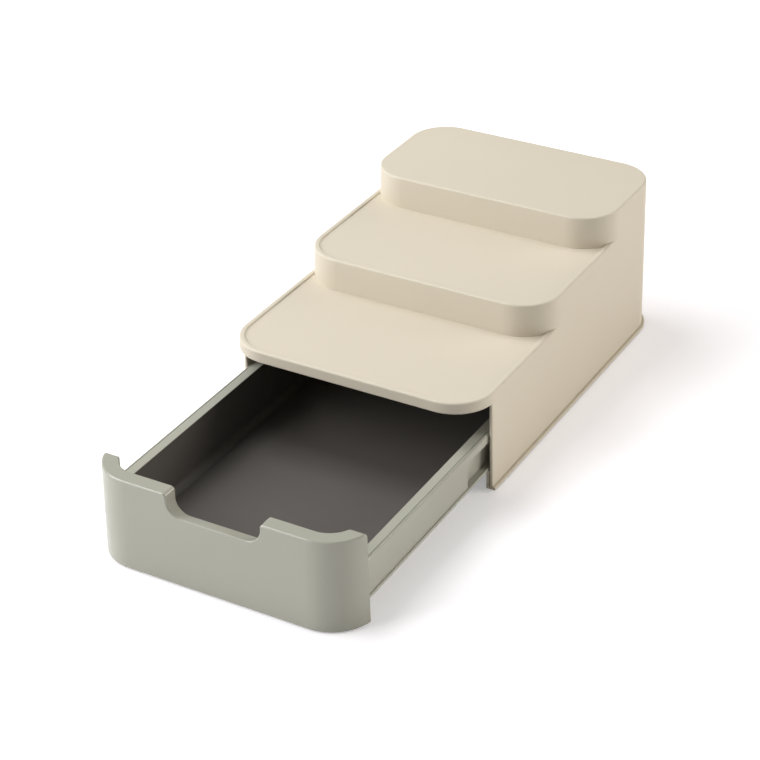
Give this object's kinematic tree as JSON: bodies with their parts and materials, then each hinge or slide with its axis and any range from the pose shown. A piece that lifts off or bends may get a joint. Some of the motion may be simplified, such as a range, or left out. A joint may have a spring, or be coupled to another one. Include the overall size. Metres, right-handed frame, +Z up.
{
  "type": "condiment caddy with drawer",
  "caption": "Tiered kitchen caddy whose rounded stepped shelves sit over a sliding drawer with a wrap-round front and a finger notch.",
  "frame": {"origin": "on the floor, at the middle of the outline's box with the drawer open as pictured", "axes": "+Z up, front towards -Y, +X to the right seen from the front"},
  "size_m": [0.189, 0.4406, 0.1154],
  "materials": {
    "housing_plastic": "fine satin moulded plastic, warm beige",
    "drawer_plastic": "fine satin moulded plastic, sage grey",
    "tray_plastic": "fine satin moulded plastic, sage grey, darker inside",
    "foot_rubber": "soft non-slip pad"
  },
  "bodies": {
    "housing": {"housing_shell": "housing_plastic", "base_frame": "housing_plastic", "foot_front_left": "foot_rubber", "foot_front_right": "foot_rubber", "foot_back_left": "foot_rubber", "foot_back_right": "foot_rubber"},
    "drawer": {"drawer_frame": "drawer_plastic", "drawer_tray": "tray_plastic"}
  },
  "joints": [
    {"name": "drawer_slide", "type": "slide", "parent": "housing", "child": "drawer", "axis": [0, 1, 0], "range_m": [0, 0.1536]}
  ]
}
